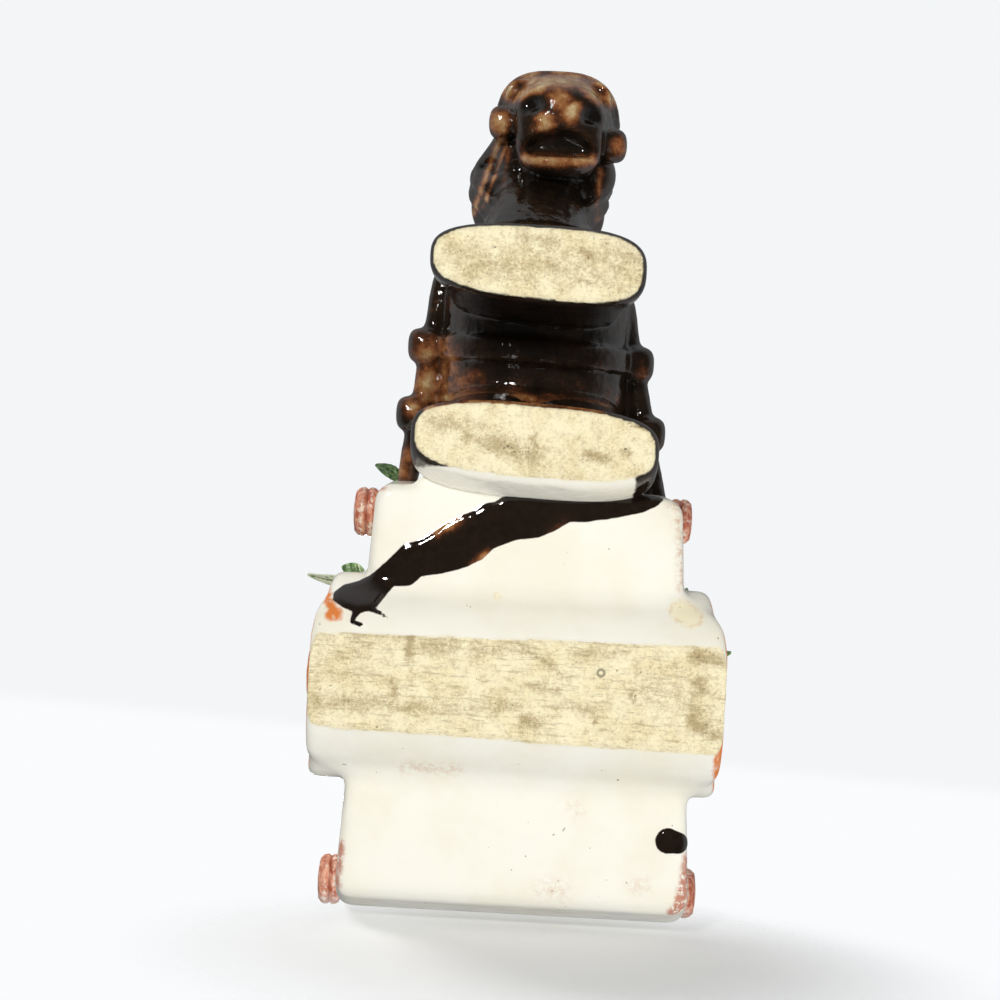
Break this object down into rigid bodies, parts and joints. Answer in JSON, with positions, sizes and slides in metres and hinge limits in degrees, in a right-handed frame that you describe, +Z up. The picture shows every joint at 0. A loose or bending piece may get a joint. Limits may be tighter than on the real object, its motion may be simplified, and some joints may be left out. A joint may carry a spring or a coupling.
{
  "type": "donkey cart planter",
  "caption": "Small glazed earthenware planter: a brown donkey in harness drawing a white two-wheeled cart with an open box for a plant.",
  "frame": {"origin": "on the table, under the middle of the overall box", "axes": "the donkey faces -Y and the cart is at +Y, X runs across, +Z is up"},
  "size_m": [0.072, 0.1456, 0.0855],
  "materials": {
    "brown_glaze": "glossy dark brown glaze, thinner and redder on edges",
    "thin_brown_glaze": "glossy tan-brown glaze worn thin over relief",
    "white_glaze": "glossy warm white glaze over cream clay, bare on the feet",
    "orange_paint": "glossy orange overglaze colour",
    "rust_paint": "worn rust-red overglaze colour",
    "green_paint": "glossy leaf-green overglaze colour"
  },
  "bodies": {
    "root": {"trunk": "brown_glaze", "neck": "brown_glaze", "head": "brown_glaze", "right_ear": "brown_glaze", "left_ear": "brown_glaze", "mane": "brown_glaze", "tail": "brown_glaze", "front_leg_block": "brown_glaze", "hind_leg_block": "brown_glaze", "collar": "brown_glaze", "saddle_pad": "brown_glaze", "right_tug_strap": "brown_glaze", "left_tug_strap": "brown_glaze", "belly_band": "brown_glaze", "hip_strap": "brown_glaze", "right_shaft": "brown_glaze", "left_shaft": "brown_glaze", "right_front_tug": "brown_glaze", "left_front_tug": "brown_glaze", "right_rear_tug": "brown_glaze", "left_rear_tug": "brown_glaze", "right_bit_ring": "brown_glaze", "left_bit_ring": "brown_glaze", "right_rein": "brown_glaze", "left_rein": "brown_glaze", "browband": "thin_brown_glaze", "noseband": "thin_brown_glaze", "right_cheek_strap": "thin_brown_glaze", "left_cheek_strap": "thin_brown_glaze", "cart_box": "white_glaze", "wheel_block": "white_glaze", "right_wheel": "white_glaze", "left_wheel": "white_glaze", "right_hub": "orange_paint", "left_hub": "orange_paint", "right_flower": "orange_paint", "left_flower": "orange_paint", "right_rail": "rust_paint", "left_rail": "rust_paint", "right_front_scroll": "rust_paint", "left_front_scroll": "rust_paint", "right_rear_scroll": "rust_paint", "left_rear_scroll": "rust_paint", "left_front_leaf": "green_paint", "left_low_leaf": "green_paint", "left_rear_leaf": "green_paint", "right_front_leaf": "green_paint", "right_curled_leaf": "green_paint", "right_rear_leaf": "green_paint", "corner_leaf": "green_paint"}
  },
  "joints": []
}
